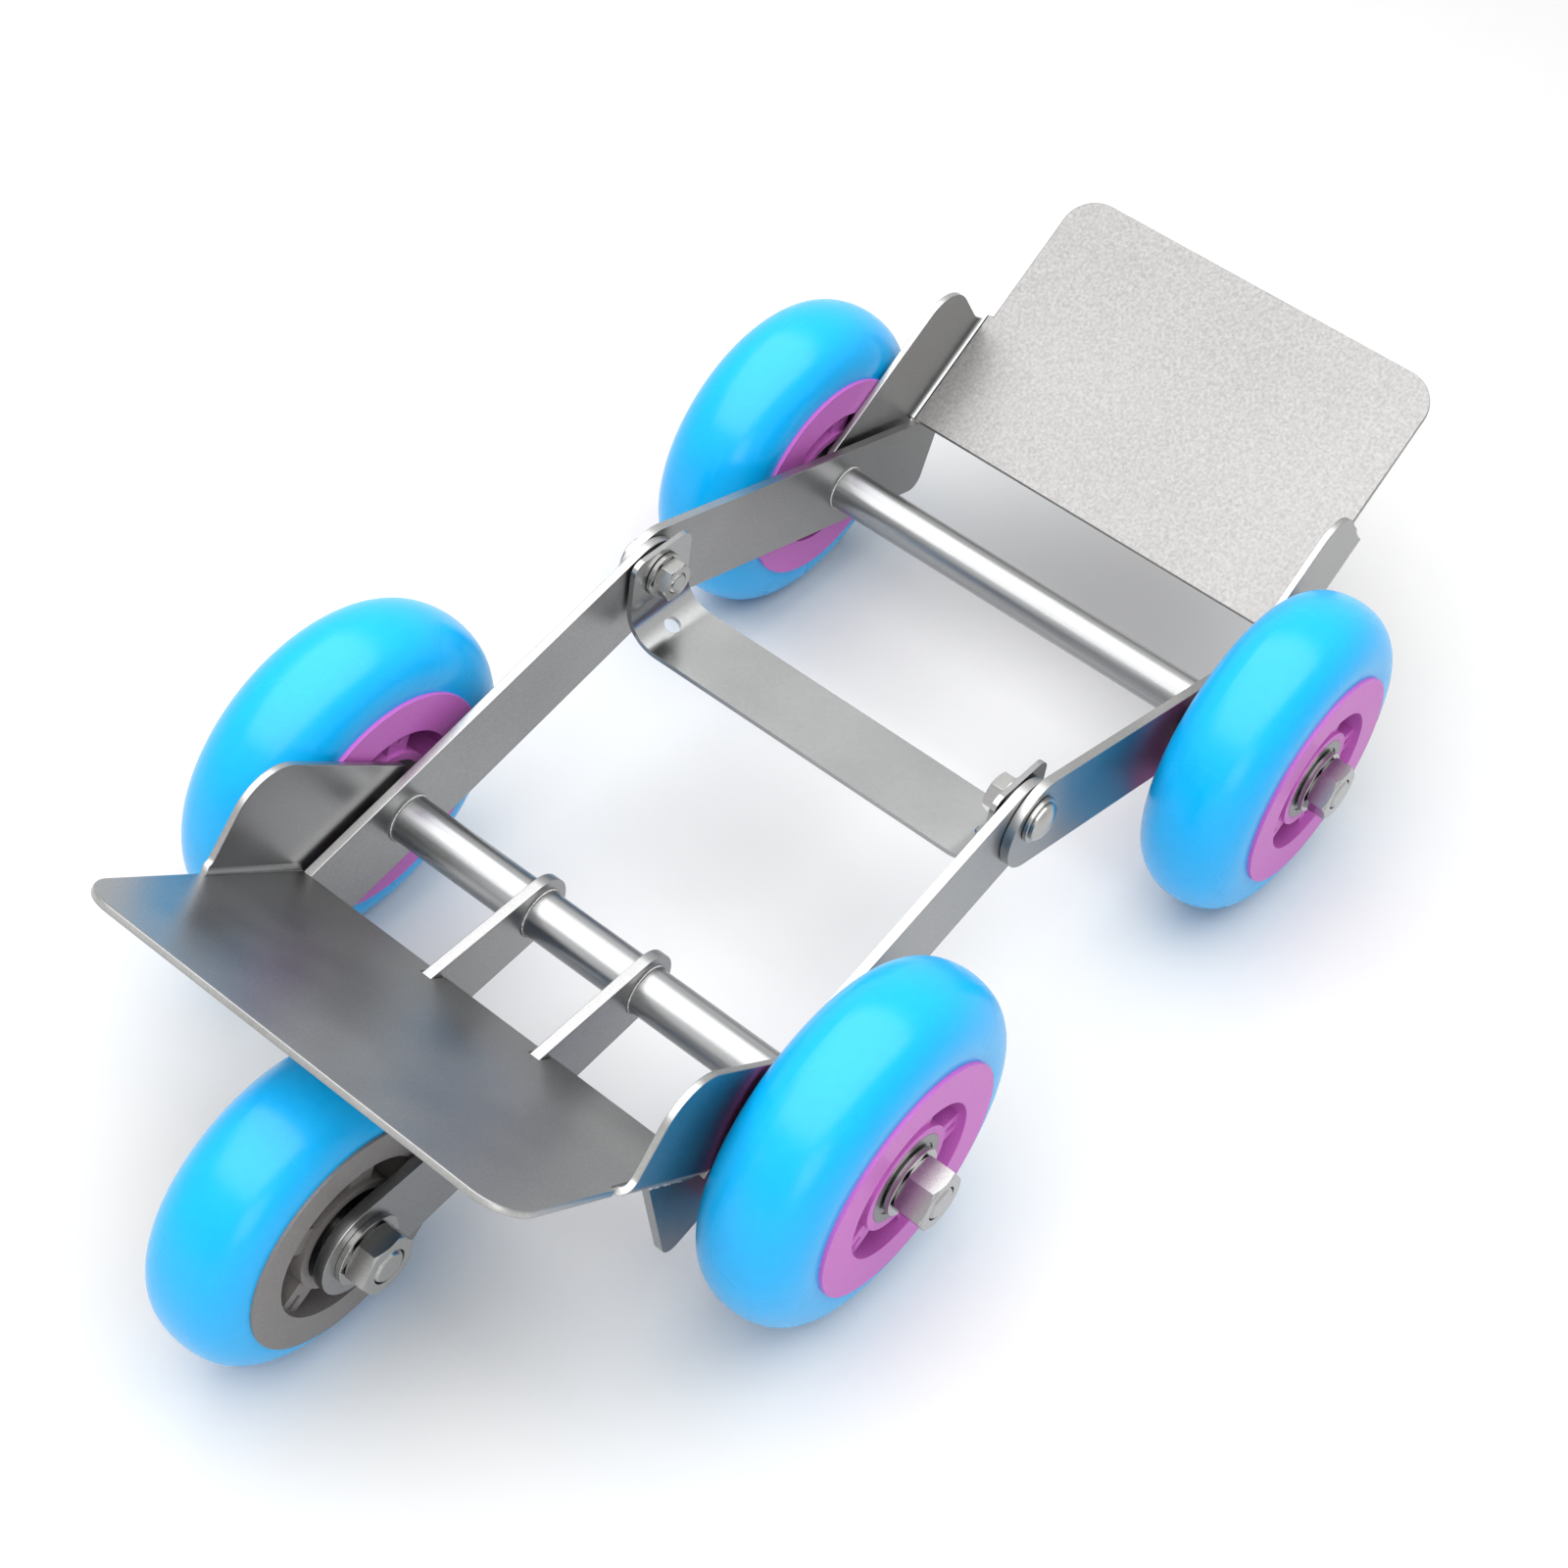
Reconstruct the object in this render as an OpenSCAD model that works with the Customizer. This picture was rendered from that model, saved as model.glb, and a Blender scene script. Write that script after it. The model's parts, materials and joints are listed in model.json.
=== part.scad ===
// Self-clamping tyre dolly on five wheels.
// Two half frames are hinged on one cross axis, and a saddle strap hangs on the
// hinge bolts. A tyre that stands on the strap pulls the hinge down, so both end
// plates swing up and hold the tyre. X is the length with the guide wheel at -X,
// Y is the width and Z is up. The origin lies on the floor, under the middle.

/* [Stance] */
// Slope of each half frame as the empty dolly stands on its wheels
rest_slope = 15; // [5:1:25]

/* [Carrying wheels] */
// Outer diameter of the four carrying wheels
wheel_d = 125; // [115:1:140]
// Width of their tyres
tyre_w = 40; // [38:1:44]
// Radius of the tyres' shoulders
tyre_shoulder_r = 17.5; // [14:0.5:18]
// Height of a tyre's crown above its shoulders
crown_drop = 0.4; // [0.3:0.1:1]
// Diameter of the hub, which is the tyre's seat
hub_d = 84; // [76:1:90]
// Width of the hub over its flat rings
hub_w = 43; // [41:0.5:48]
// Diameter of the recess inside the flat ring
hub_recess_d = 56; // [52:1:64]
// Depth of the spokes and of the boss below the flat ring
spoke_inset = 3; // [1.5:0.5:6]
// Thickness of the web in the middle of the hub, between the pockets
web_t = 16; // [8:1:20]
// Wall of the boss round the bearings
boss_wall = 3; // [2:0.5:4]
// Width of the groove in the outer end of each spoke
spoke_groove_w = 2; // [1:0.25:3]
// Length of that groove
spoke_groove_len = 5; // [3:0.5:6]
// Number of spokes
spokes = 5; // [3:1:8]
// Width of one spoke
spoke_w = 9; // [5:0.5:12]

/* [Guide wheel] */
// Outer diameter of the guide wheel
guide_d = 106; // [100:1:110]
// Width of its tyre
guide_tyre_w = 37; // [34:1:39]
// Radius of its tyre's shoulders
guide_shoulder_r = 15; // [12:0.5:16]
// Diameter of its hub
guide_hub_d = 78; // [70:1:84]
// Width of its hub over the flat rings
guide_hub_w = 39; // [37:0.5:40]
// Diameter of the recess inside its flat ring
guide_recess_d = 56; // [52:1:60]

/* [Bearings] */
// Bore of the bearings, which is the axle's diameter
bearing_bore = 12; // [10:1:12]
// Outer diameter of the bearings
bearing_od = 32; // [30:1:34]
// Width of one bearing
bearing_w = 10; // [9:1:11]
// Diameter of a bearing ball
ball_d = 5.8; // [5:0.1:6]
// Balls in one bearing
balls = 7; // [5:1:8]

/* [Rails] */
// Depth of a rail
rail_depth = 34.5; // [33:0.5:40]
// Thickness of a rail
rail_t = 3.5; // [2.5:0.25:4.5]
// Clear width between the front rails
inner_width = 158; // [140:1:180]
// Distance along a rail from its axle to the hinge bolt
hinge_reach = 124; // [110:1:150]
// Height of the hinge bolt above a rail's middle line
hinge_lift = 4; // [0:0.5:8]
// Length of a rail past the hinge bolt
rail_past_hinge = 13; // [8:0.5:15]
// Length of a rail past its axle, to the square end below the plate
rail_toe = 60; // [56:1:66]
// Corner radius at the lower end of that square end
toe_r = 6; // [2:0.5:10]

/* [Clamp plates] */
// Length of the front plate up its slope
front_plate_len = 109; // [95:1:125]
// Length of the rear plate up its slope
rear_plate_len = 114.5; // [100:0.5:130]
// Angle between the front plate and its rails
front_plate_angle = 52; // [45:0.5:56]
// Angle between the rear plate and its rails
rear_plate_angle = 50.5; // [45:0.5:56]
// Width of the plates past their wings
plate_w = 168; // [150:1:172]
// Thickness of the plates and of their wings
plate_t = 2.5; // [2:0.25:4]
// Radius of a plate's free corners
plate_corner_r = 14; // [6:1:25]
// Distance along a rail from the front axle to the front plate's inner edge
front_plate_root = 40.5; // [38:0.5:44]
// Distance along a rail from the rear axle to the rear plate's inner edge
rear_plate_root = 44.5; // [41:0.5:48]
// Length of a wing along the plate
wing_len = 47; // [40:0.5:60]
// Height of a wing above the plate
wing_h = 38; // [34:1:46]
// Radius of a wing's free corner
wing_corner_r = 17; // [8:1:24]
// Overlap of a wing on the outside of its rail
wing_lap = 5.5; // [4:0.5:6]
// Distance along the rail from the axle back to the end of that overlap
wing_back = 8; // [4:0.5:12]
// Radius of the hollow at the foot of a wing
wing_foot_r = 4.5; // [1:0.5:6]

/* [Cross tubes] */
// Outer diameter of a cross tube
tube_d = 17; // [16:0.5:20]
// Reach of the weld bead round each end of a tube
weld_r = 2.5; // [1:0.5:4]

/* [Guide fork] */
// Thickness of a fork arm
arm_t = 4; // [3:0.5:5]
// Clear width between the fork arms
arm_gap = 41.2; // [41:0.1:46]
// Diameter of an arm's round end on the cross tube
arm_eye_d = 25; // [23:0.5:28]
// Diameter of an arm's round end at the guide wheel
arm_end_d = 33.5; // [33.5:0.5:38]
// Distance along the rails from the front axle to the guide axle
guide_reach = 121; // [118:1:130]
// Length of the slot in the plate's inner edge for an arm
arm_slot = 8.5; // [7.5:0.5:9.5]

/* [Saddle] */
// Width of the saddle strap along the dolly
saddle_w = 30; // [24:1:40]
// Thickness of the strap
saddle_t = 2; // [1.5:0.25:4]
// Height from the strap's top face up to the hinge axis
saddle_drop = 20.8; // [20:0.2:30]
// Inside radius of the strap's bends
saddle_bend_r = 12; // [8:0.5:12]
// Height of an ear above the hinge axis
ear_rise = 11.5; // [9:0.5:14]
// Corner radius of an ear
ear_corner_r = 5; // [1:0.5:6]
// Thickness of the spacer between an ear and the front rail
hinge_spacer_t = 0.8; // [0.5:0.1:3]
// Diameter of the drain hole in each bend
bend_hole_d = 6.5; // [4:0.5:8]
// Angle of the drain hole's axis from the vertical
bend_hole_angle = 23; // [15:1:45]

/* [Fasteners] */
// Diameter of the hinge bolts
hinge_bolt_d = 8; // [6:1:10]
// Diameter of a hinge bolt's low round head
hinge_head_d = 14; // [12:0.5:17]
// Height of that head
hinge_head_h = 3.5; // [2.5:0.1:5]
// Width across flats of the hinge nuts
hinge_flats = 13; // [12:0.5:16]
// Height of a hinge nut
hinge_nut_h = 5.5; // [4:0.1:6.5]
// Outer diameter of the hinge washers
hinge_washer_d = 17; // [15:0.5:18]
// Thickness of the hinge washers
hinge_washer_t = 1.6; // [1:0.1:2.5]
// Width across flats of the axle nuts
axle_flats = 19; // [17:0.5:22]
// Height of a front axle nut
axle_nut_h = 11; // [9:0.5:14]
// Height of the thin nuts on the rear axle and on the guide axle
thin_nut_h = 8; // [6:0.5:10]
// Height of the guide axle bolt's head
axle_head_h = 7.5; // [6:0.5:10]
// Outer diameter of the washers under the axle nuts
axle_washer_d = 24; // [21:0.5:28]
// Thickness of the axle washers
axle_washer_t = 2; // [1.5:0.1:4]
// Height of the raised rim of those washers, which bears on the inner race
washer_rim = 0.5; // [0.3:0.1:1]
// Length of the collar between a front rail and its wheel
front_collar_len = 7; // [6:0.5:13]
// Length of the collar between a rear rail and its wheel
rear_collar_len = 6; // [5:0.5:12]
// Outer diameter of the collars
collar_d = 20; // [16:0.5:22]
// Length of thread that shows past a nut
thread_out = 0.5; // [0:0.5:4]

/* [Clearances] */
// Radial clearance of the hinge bolts in the rails and ears
pivot_fit = 0.06; // [0.02:0.01:0.1]
// Radial clearance of an axle in what it passes through
axle_fit = 0.1; // [0.05:0.05:0.3]
// Gap between flat faces that slide past each other
slide_gap = 0.2; // [0.1:0.05:0.3]
// Side clearance of a fork arm in its slot in the plate
slot_fit = 0.1; // [0.05:0.05:0.3]
// Gap between a ball and its grooves
ball_gap = 0.1; // [0.05:0.05:0.2]
// Gap between a bearing seal and the inner race
seal_gap = 0.2; // [0.1:0.05:0.4]
// Depth of a seal below the bearing's faces
seal_inset = 0.5; // [0.3:0.1:1]
// Thickness of a seal
seal_t = 0.8; // [0.5:0.1:1.2]

/* [Hidden] */
$fn = 96;
over = 1; // how far a cut runs past a face
bearing_stop = 2.5; // shoulder between the two bearings of a wheel
race_share = 0.35; // distance from the balls' pitch circle to a race, per ball diameter
head_rim_share = 0.35; // height of a round head's rim, per the head's height
thread_bevel_share = 0.1; // bevel at the end of a thread, per its diameter
hex_bevel_share = 0.6; // height of a hexagon's corner bevels, per their depth
boss_inset = 1.5; // depth of a hub's boss below its flat ring
groove_edge = 0.6; // from a spoke's groove to the recess wall
wheel_r = wheel_d / 2;
axle_d = bearing_bore;
end_r = rail_depth / 2;
weld_gap = 0.02; // gap between a plate and its wings, which their welds fill
edge_rise = 0.05; // height of a plate's inner edge above the rails' top edges
plate_edge_h = end_r + edge_rise;
pitch_r = (bearing_bore + bearing_od) / 4;
race_d = 2 * (pitch_r - ball_d * race_share);
outer_race_r = pitch_r + ball_d * race_share;

// Places across the width, as distances from the middle
front_rail_y = inner_width / 2;
rear_rail_y = front_rail_y + rail_t + slide_gap;
front_wing_y = front_rail_y + rail_t;
rear_wing_y = rear_rail_y + rail_t;
boss_half = hub_w / 2 - boss_inset;
front_wheel_y = front_rail_y + rail_t + front_collar_len + boss_half;
rear_wheel_y = rear_rail_y + rail_t + rear_collar_len + boss_half;
guide_boss_half = guide_hub_w / 2 - boss_inset;
arm_y = arm_gap / 2;
ear_out = front_rail_y - hinge_spacer_t - slide_gap;
ear_in = ear_out - saddle_t;
hinge_nut_y = ear_in - slide_gap - hinge_washer_t;
hinge_head_y = rear_rail_y + rail_t + slide_gap + hinge_washer_t;
guide_stack = arm_y + arm_t;

// Places in the side view
axle_z = wheel_r;
axle_x = hinge_reach * cos(rest_slope) - hinge_lift * sin(rest_slope);
hinge_z = axle_z + hinge_reach * sin(rest_slope) + hinge_lift * cos(rest_slope);
guide_lift = (guide_reach * sin(rest_slope) - (wheel_r - guide_d / 2)) / cos(rest_slope);
guide_x = guide_reach * cos(rest_slope) + guide_lift * sin(rest_slope);
rear_rise = plate_edge_h + rear_plate_len * sin(rear_plate_angle);
rear_run = rear_plate_root + rear_plate_len * cos(rear_plate_angle);
x_front = -axle_x - guide_x - guide_d / 2;
x_rear = axle_x + rear_run * cos(rest_slope) + rear_rise * sin(rest_slope);
hinge_x = -(x_front + x_rear) / 2;

// Wheel places: x, y and height of each wheel's middle
WHEELS = [
    [hinge_x - axle_x, front_wheel_y, axle_z],
    [hinge_x - axle_x, -front_wheel_y, axle_z],
    [hinge_x + axle_x, rear_wheel_y, axle_z],
    [hinge_x + axle_x, -rear_wheel_y, axle_z],
    [hinge_x - axle_x - guide_x, 0, guide_d / 2]
];
GUIDE = 4;

STEEL = [0.72, 0.73, 0.75];
BRIGHT = [0.85, 0.86, 0.88];
SADDLE_GREY = [0.80, 0.81, 0.82];
SKY = [0.05, 0.65, 0.98];
PINK = [0.85, 0.45, 0.80];
GREY_HUB = [0.55, 0.55, 0.55];

// A half frame is drawn with its axle at the origin, its rails along X towards
// the plate, and then set at its slope.
module rear_half() {
    translate([hinge_x + axle_x, 0, axle_z]) rotate([0, rest_slope, 0]) children();
}
module front_half() {
    translate([hinge_x - axle_x, 0, axle_z]) mirror([1, 0, 0]) rotate([0, rest_slope, 0]) children();
}

// A flat outline in the side view, t thick, with its inner face at y and on the given side
module side_sheet(y, t, side) {
    translate([0, side > 0 ? y + t : -y, 0]) rotate([90, 0, 0]) linear_extrude(t) children();
}

// A round bar or hole across the dolly, from y0 to y1
module cross_bar(d, y0, y1) {
    translate([0, y1, 0]) rotate([90, 0, 0]) cylinder(d = d, h = y1 - y0);
}
module cross_ring(d, bore, y0, y1) {
    difference() {
        cross_bar(d, y0, y1);
        cross_bar(bore, y0 - over, y1 + over);
    }
}

// Puts its children in a plate's own frame: X up the slope, Z off the clamping
// face. The plate's inner edge lies at the height of the rails' top edges.
module on_plate(root, angle) {
    translate([root, 0, plate_edge_h]) rotate([0, -angle, 0]) children();
}
module on_plate_2d(root, angle) {
    translate([root, plate_edge_h]) rotate(angle) children();
}

// Rail: a flat bar with a round end past the hinge. Its other end is cut square
// and follows the underside of the plate that it carries.
module rail_outline(root, angle) {
    heel = [root + plate_t * sin(angle), plate_edge_h - plate_t * cos(angle)];
    top_end = root + edge_rise * tan(angle);
    toe_top = heel[1] + (rail_toe - heel[0]) * tan(angle);
    end_x = -hinge_reach - rail_past_hinge + end_r;
    difference() {
        union() {
            polygon([
                [end_x, -end_r], [rail_toe - toe_r, -end_r], [rail_toe, -end_r + toe_r],
                [rail_toe, toe_top], heel, [top_end, end_r], [end_x, end_r]
            ]);
            translate([end_x, 0]) circle(r = end_r);
            translate([rail_toe - toe_r, -end_r + toe_r]) circle(r = toe_r);
        }
        circle(d = axle_d + 2 * axle_fit);
        translate([-hinge_reach, hinge_lift]) circle(d = hinge_bolt_d + 2 * pivot_fit);
    }
}
module rail(y, side, root, angle) {
    color(STEEL) side_sheet(y, rail_t, side) rail_outline(root, angle);
}
module front_rail(side) { front_half() rail(front_rail_y, side, front_plate_root, front_plate_angle); }
module rear_rail(side) { rear_half() rail(rear_rail_y, side, rear_plate_root, rear_plate_angle); }

// Plate: as wide between its wings as they leave it, plate_w wide past them, and
// with round free corners
module plate_outline(length, wing_y) {
    r = plate_corner_r;
    half = plate_w / 2;
    foot = wing_len + wing_foot_r + weld_gap;
    edge = wing_y - weld_gap;
    polygon([
        [0, -edge], [foot, -edge], [foot, -half], [length - r, -half], [length, -half + r],
        [length, half - r], [length - r, half], [foot, half], [foot, edge], [0, edge]
    ]);
    for (s = [-1, 1]) translate([length - r, s * (half - r)]) circle(r = r);
}
module front_plate() {
    color(STEEL) front_half() on_plate(front_plate_root, front_plate_angle)
        translate([0, 0, -plate_t]) linear_extrude(plate_t) difference() {
            plate_outline(front_plate_len, front_wing_y);
            for (s = [-1, 1])
                translate([-over, s * (arm_y + arm_t / 2) - arm_t / 2 - slot_fit])
                    square([arm_slot + over, arm_t + 2 * slot_fit]);
        }
}
module rear_plate() {
    color(BRIGHT) rear_half() on_plate(rear_plate_root, rear_plate_angle)
        translate([0, 0, -plate_t]) linear_extrude(plate_t) plate_outline(rear_plate_len, rear_wing_y);
}

// Wing: stands on the plate's side edge, level with the plate's underside, and
// runs back along the outside of the rail.
module wing_outline(root, angle) {
    far = 4 * wing_h;
    difference() {
        intersection() {
            on_plate_2d(root, angle) union() {
                translate([-far, -plate_t]) square([far + wing_len, plate_t + wing_h - wing_corner_r]);
                translate([-far, 0]) square([far + wing_len - wing_corner_r, wing_h]);
                translate([wing_len - wing_corner_r, wing_h - wing_corner_r]) circle(r = wing_corner_r);
                translate([wing_len - over, -plate_t]) square([wing_foot_r + over, plate_t + wing_foot_r]);
            }
            translate([-wing_back, end_r - wing_lap]) square([far, far]);
        }
        on_plate_2d(root, angle) translate([wing_len + wing_foot_r, wing_foot_r]) circle(r = wing_foot_r);
    }
}
module wing(y, side, root, angle) {
    color(STEEL) side_sheet(y, plate_t, side) wing_outline(root, angle);
}
module front_wing(side) { front_half() wing(front_wing_y, side, front_plate_root, front_plate_angle); }
module rear_wing(side) { rear_half() wing(rear_wing_y, side, rear_plate_root, rear_plate_angle); }

// Cross tube between the rails, with a weld bead round each end
module cross_tube(half) {
    color(BRIGHT) difference() {
        union() {
            cross_bar(tube_d, -half, half);
            for (s = [-1, 1])
                translate([0, s * half, 0]) rotate([s * 90, 0, 0])
                    cylinder(d1 = tube_d + 2 * weld_r, d2 = tube_d, h = weld_r);
        }
        cross_bar(axle_d + 2 * axle_fit, -half - over, half + over);
    }
}
module front_cross_tube() { front_half() cross_tube(front_rail_y); }
module rear_cross_tube() { rear_half() cross_tube(rear_rail_y); }

// Fork arm: a flat bar with a round end on the cross tube and a larger one at the
// guide wheel. The plate rests on its top edge, past the slot.
module arm_outline() {
    r1 = arm_eye_d / 2;
    r2 = arm_end_d / 2;
    span = sqrt(pow(guide_reach, 2) + pow(guide_lift, 2));
    lean = atan2(guide_lift, guide_reach);
    flank = asin((r2 - r1) / span);
    side = [-sin(flank), cos(flank)];
    under = [-sin(flank), -cos(flank)];
    difference() {
        rotate(lean) union() {
            circle(r = r1);
            translate([span, 0]) circle(r = r2);
            polygon([r1 * under, [span, 0] + r2 * under, [span, 0] + r2 * side, r1 * side]);
        }
        circle(d = tube_d);
        translate([guide_reach, guide_lift]) circle(d = axle_d + 2 * axle_fit);
        on_plate_2d(front_plate_root, front_plate_angle)
            translate([arm_slot, -plate_t]) square([guide_reach, guide_reach]);
    }
}
module fork_arm(side) { color(STEEL) front_half() side_sheet(arm_y, arm_t, side) arm_outline(); }

// Saddle: a flat strap bent up at both ends, with an ear on each hinge bolt
module u_outline(half, floor_z, r) {
    translate([-half, floor_z + r]) square([2 * half, saddle_drop + ear_rise + 2 * over]);
    translate([-half + r, floor_z]) square([2 * (half - r), r + over]);
    for (s = [-1, 1]) translate([s * (half - r), floor_z + r]) circle(r = r);
}
module saddle_strap() {
    half_w = saddle_w / 2;
    r = ear_corner_r;
    bend_y = ear_in - saddle_bend_r;
    bend_z = -saddle_drop + saddle_bend_r;
    color(SADDLE_GREY) translate([hinge_x, 0, hinge_z]) difference() {
        intersection() {
            rotate([90, 0, 90]) translate([0, 0, -half_w]) linear_extrude(saddle_w) difference() {
                u_outline(ear_out, -saddle_drop - saddle_t, saddle_bend_r + saddle_t);
                u_outline(ear_in, -saddle_drop, saddle_bend_r);
            }
            translate([0, ear_out + over, 0]) rotate([90, 0, 0]) linear_extrude(2 * (ear_out + over)) {
                translate([-half_w, -2 * saddle_drop]) square([saddle_w, 2 * saddle_drop + ear_rise - r]);
                translate([-half_w + r, 0]) square([saddle_w - 2 * r, ear_rise]);
                for (s = [-1, 1]) translate([s * (half_w - r), ear_rise - r]) circle(r = r);
            }
        }
        cross_bar(hinge_bolt_d + 2 * pivot_fit, -ear_out - over, ear_out + over);
        for (s = [-1, 1])
            translate([0, s * bend_y, bend_z]) rotate([-s * (180 - bend_hole_angle), 0, 0])
                cylinder(d = bend_hole_d, h = 2 * saddle_bend_r);
    }
}

// A six-sided bar with chamfered corners, on the Z axis from 0 to h
module hexagon(flats, h) {
    corner = flats / cos(30);
    bevel = (corner - flats) / 2 * hex_bevel_share;
    intersection() {
        cylinder(d = corner, h = h, $fn = 6);
        rotate_extrude() polygon([
            [0, 0], [flats / 2, 0], [corner / 2, bevel], [corner / 2, h - bevel], [flats / 2, h], [0, h]
        ]);
    }
}
module nut(flats, h, d) {
    difference() {
        hexagon(flats, h);
        translate([0, 0, -over]) cylinder(d = d + 2 * axle_fit, h = h + 2 * over);
    }
}
// A low round bolt head: a short rim under a dome
module round_head(d, h) {
    dome = h * (1 - head_rim_share);
    ball_r = (pow(d / 2, 2) + pow(dome, 2)) / (2 * dome);
    rotate_extrude() intersection() {
        square([d / 2, h]);
        translate([0, h - ball_r]) circle(r = ball_r);
    }
}

// Turns the Z axis outwards or inwards on the given side, from the distance y
module outwards(y, side) {
    translate([0, side * y, 0]) rotate([-side * 90, 0, 0]) children();
}
module inwards(y, side) {
    translate([0, side * y, 0]) rotate([side * 90, 0, 0]) children();
}
// A bolt's shank with a bevelled end
module bolt_shank(d, length) {
    bevel = d * thread_bevel_share;
    cylinder(d = d, h = length - bevel);
    translate([0, 0, length - bevel]) cylinder(d1 = d, d2 = d - 2 * bevel, h = bevel);
}

// Hinge hardware, from the inside out: nut, washer, ear, spacer, front rail,
// rear rail, washer, round head
module at_hinge() { translate([hinge_x, 0, hinge_z]) children(); }
module hinge_bolts() {
    length = hinge_head_y - hinge_nut_y + hinge_nut_h + thread_out;
    color(BRIGHT) at_hinge() for (s = [-1, 1]) {
        outwards(hinge_head_y, s) round_head(hinge_head_d, hinge_head_h);
        inwards(hinge_head_y, s) bolt_shank(hinge_bolt_d, length);
    }
}
module hinge_nuts() {
    color(BRIGHT) at_hinge() for (s = [-1, 1]) inwards(hinge_nut_y, s)
        nut(hinge_flats, hinge_nut_h, hinge_bolt_d);
}
module washer(d, bore, t) {
    difference() {
        cylinder(d = d, h = t);
        translate([0, 0, -over]) cylinder(d = bore, h = t + 2 * over);
    }
}
module hinge_washers() {
    bore = hinge_bolt_d + 2 * axle_fit;
    color(BRIGHT) at_hinge() for (s = [-1, 1]) {
        outwards(hinge_nut_y, s) washer(hinge_washer_d, bore, hinge_washer_t);
        inwards(hinge_head_y, s) washer(hinge_washer_d, bore, hinge_washer_t);
    }
}
module hinge_spacers() {
    color(STEEL) at_hinge() for (s = [-1, 1])
        outwards(front_rail_y - hinge_spacer_t, s)
            washer(hinge_washer_d, hinge_bolt_d + 2 * axle_fit, hinge_spacer_t);
}

// Axle hardware of a pair of carrying wheels. rail_out is the rail's outer face.
module axle_rod(wheel_y, nut_h) {
    length = wheel_y + boss_half + washer_rim + axle_washer_t + nut_h + thread_out;
    color(BRIGHT) for (s = [-1, 1]) outwards(0, s) bolt_shank(axle_d, length);
}
module axle_nuts(wheel_y, nut_h) {
    color(BRIGHT) for (s = [-1, 1]) outwards(wheel_y + boss_half + washer_rim + axle_washer_t, s)
        nut(axle_flats, nut_h, axle_d);
}
module axle_washers(wheel_y) {
    bore = axle_d + 2 * axle_fit;
    color(BRIGHT) for (s = [-1, 1]) outwards(wheel_y + boss_half, s) {
        washer(race_d, bore, washer_rim);
        translate([0, 0, washer_rim]) washer(axle_washer_d, bore, axle_washer_t);
    }
}
module axle_collars(rail_out, length) {
    color(BRIGHT) for (s = [-1, 1]) outwards(rail_out, s)
        washer(collar_d, axle_d + 2 * axle_fit, length);
}
module sleeve(half) {
    cross_ring(race_d, axle_d + 2 * axle_fit, -half, half);
}
module axle_sleeves(wheel_y) {
    color(STEEL) for (s = [-1, 1]) translate([0, s * wheel_y, 0]) sleeve(boss_half - bearing_w);
}
module at_front_axle() { translate([hinge_x - axle_x, 0, axle_z]) children(); }
module at_rear_axle() { translate([hinge_x + axle_x, 0, axle_z]) children(); }
module at_guide_axle() { translate(WHEELS[GUIDE]) children(); }

// Guide axle: a bolt with its head on the left and its nut on the right
module guide_axle_bolt() {
    head_y = guide_stack + axle_washer_t;
    color(BRIGHT) at_guide_axle() translate([0, head_y, 0]) rotate([90, 0, 0]) {
        translate([0, 0, -axle_head_h]) hexagon(axle_flats, axle_head_h);
        bolt_shank(axle_d, 2 * head_y + thin_nut_h + thread_out);
    }
}
module guide_axle_nut() {
    color(BRIGHT) at_guide_axle() outwards(guide_stack + axle_washer_t, -1)
        nut(axle_flats, thin_nut_h, axle_d);
}
module guide_axle_washers() {
    bore = axle_d + 2 * axle_fit;
    color(BRIGHT) at_guide_axle() for (s = [-1, 1]) {
        outwards(guide_stack, s) washer(axle_washer_d, bore, axle_washer_t);
        outwards(guide_boss_half, s) washer(race_d, bore, arm_y - guide_boss_half);
    }
}
module guide_axle_sleeve() {
    color(STEEL) at_guide_axle() sleeve(guide_boss_half - bearing_w);
}

// Tyre: a crown arc and two shoulder arcs that run into each other, over flat sides
module tyre_profile(outer_r, seat_r, w, shoulder_r) {
    half = w / 2;
    ys = half - shoulder_r;
    cs = outer_r - shoulder_r - crown_drop;
    crown_c = cs - (pow(ys, 2) - pow(crown_drop, 2)) / (2 * crown_drop);
    crown_r = outer_r - crown_c;
    join_y = crown_r * sin(atan2(ys, cs - crown_c));
    difference() {
        union() {
            for (s = [-1, 1]) translate([cs, s * ys]) circle(r = shoulder_r);
            translate([seat_r, -half]) square([cs - seat_r, w]);
            intersection() {
                translate([crown_c, 0]) circle(r = crown_r, $fn = 360);
                translate([cs, -join_y]) square([outer_r, 2 * join_y]);
            }
        }
        translate([seat_r - 2 * wheel_r, -w]) square([2 * wheel_r, 2 * w]);
    }
}
module wheel_tyre(i) {
    color(SKY) translate(WHEELS[i]) rotate([90, 0, 0]) rotate_extrude() {
        if (i == GUIDE) tyre_profile(guide_d / 2, guide_hub_d / 2, guide_tyre_w, guide_shoulder_r);
        else tyre_profile(wheel_r, hub_d / 2, tyre_w, tyre_shoulder_r);
    }
}

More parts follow.
